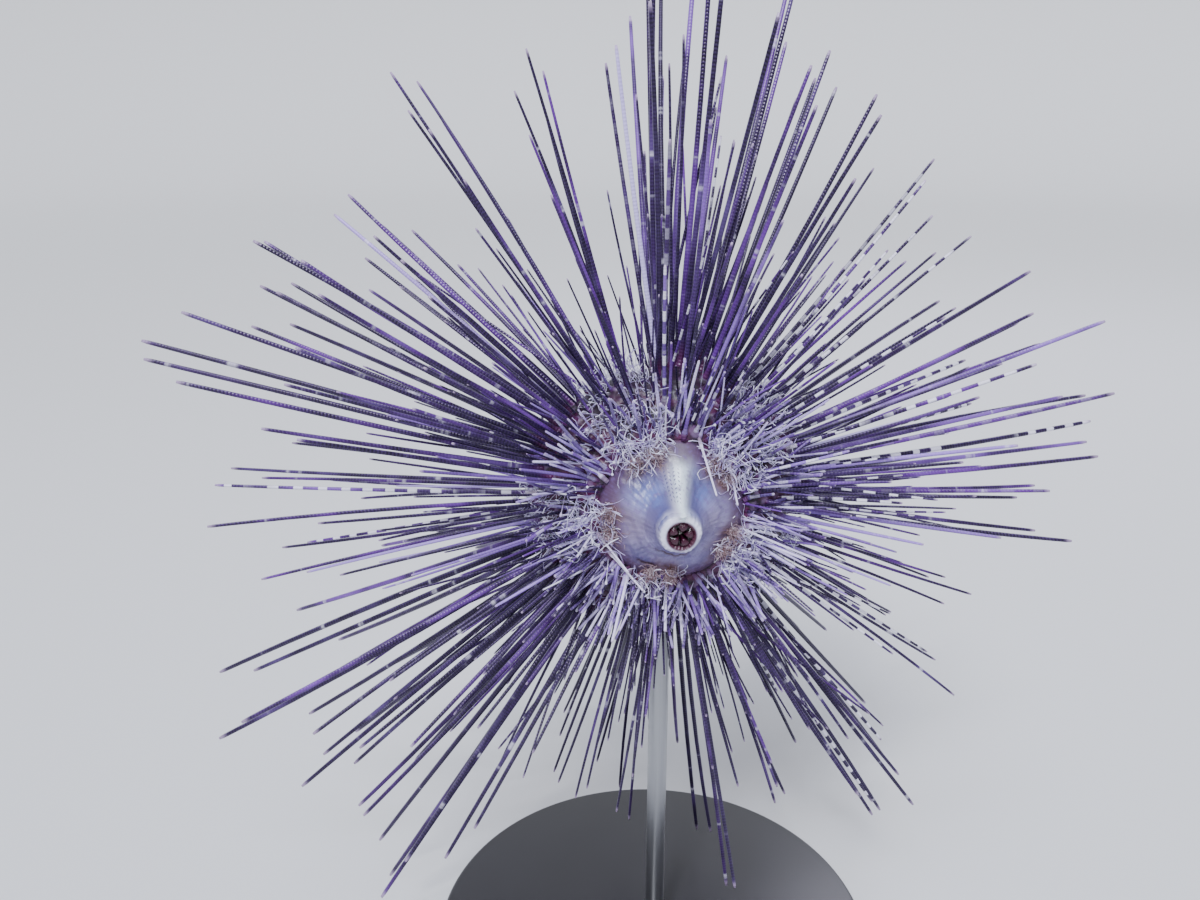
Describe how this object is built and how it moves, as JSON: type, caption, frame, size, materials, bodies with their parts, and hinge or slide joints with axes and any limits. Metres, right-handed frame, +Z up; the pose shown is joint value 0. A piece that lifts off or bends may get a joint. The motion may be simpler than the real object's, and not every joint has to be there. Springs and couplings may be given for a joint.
{
  "type": "long-spined sea urchin",
  "caption": "Long-spined sea urchin, mouth forward, with a pale mouth cone, tube feet, gills and long banded spines, held on a round display stand.",
  "frame": {"origin": "middle of the underside of the stand's base, on the floor", "axes": "+Z up; the mouth faces -Y and the anal cone +Y; +X is to the right of someone who looks at the mouth"},
  "size_m": [0.2426, 0.1506, 0.2739],
  "materials": {
    "stand": "smooth, near black",
    "rod": "fine brushed",
    "plates": "dark purple skin, satin spines with pale bands",
    "membrane": "soft, wet, pale lilac",
    "lip": "wet, dark red-purple",
    "teeth": "hard, white",
    "disc": "dark skin with five pale spots",
    "cone": "dark, thin-skinned, with a paler ring"
  },
  "bodies": {
    "root": {"stand_base": "stand", "stand_rod": "rod", "interambulacrum_1": "plates", "interambulacrum_2": "plates", "interambulacrum_3": "plates", "interambulacrum_4": "plates", "interambulacrum_5": "plates", "ambulacrum_1": "plates", "ambulacrum_2": "plates", "ambulacrum_3": "plates", "ambulacrum_4": "plates", "ambulacrum_5": "plates", "peristome": "membrane", "mouth_lobes": "lip", "teeth": "teeth", "apical_disc": "disc", "anal_cone": "cone"}
  },
  "joints": []
}
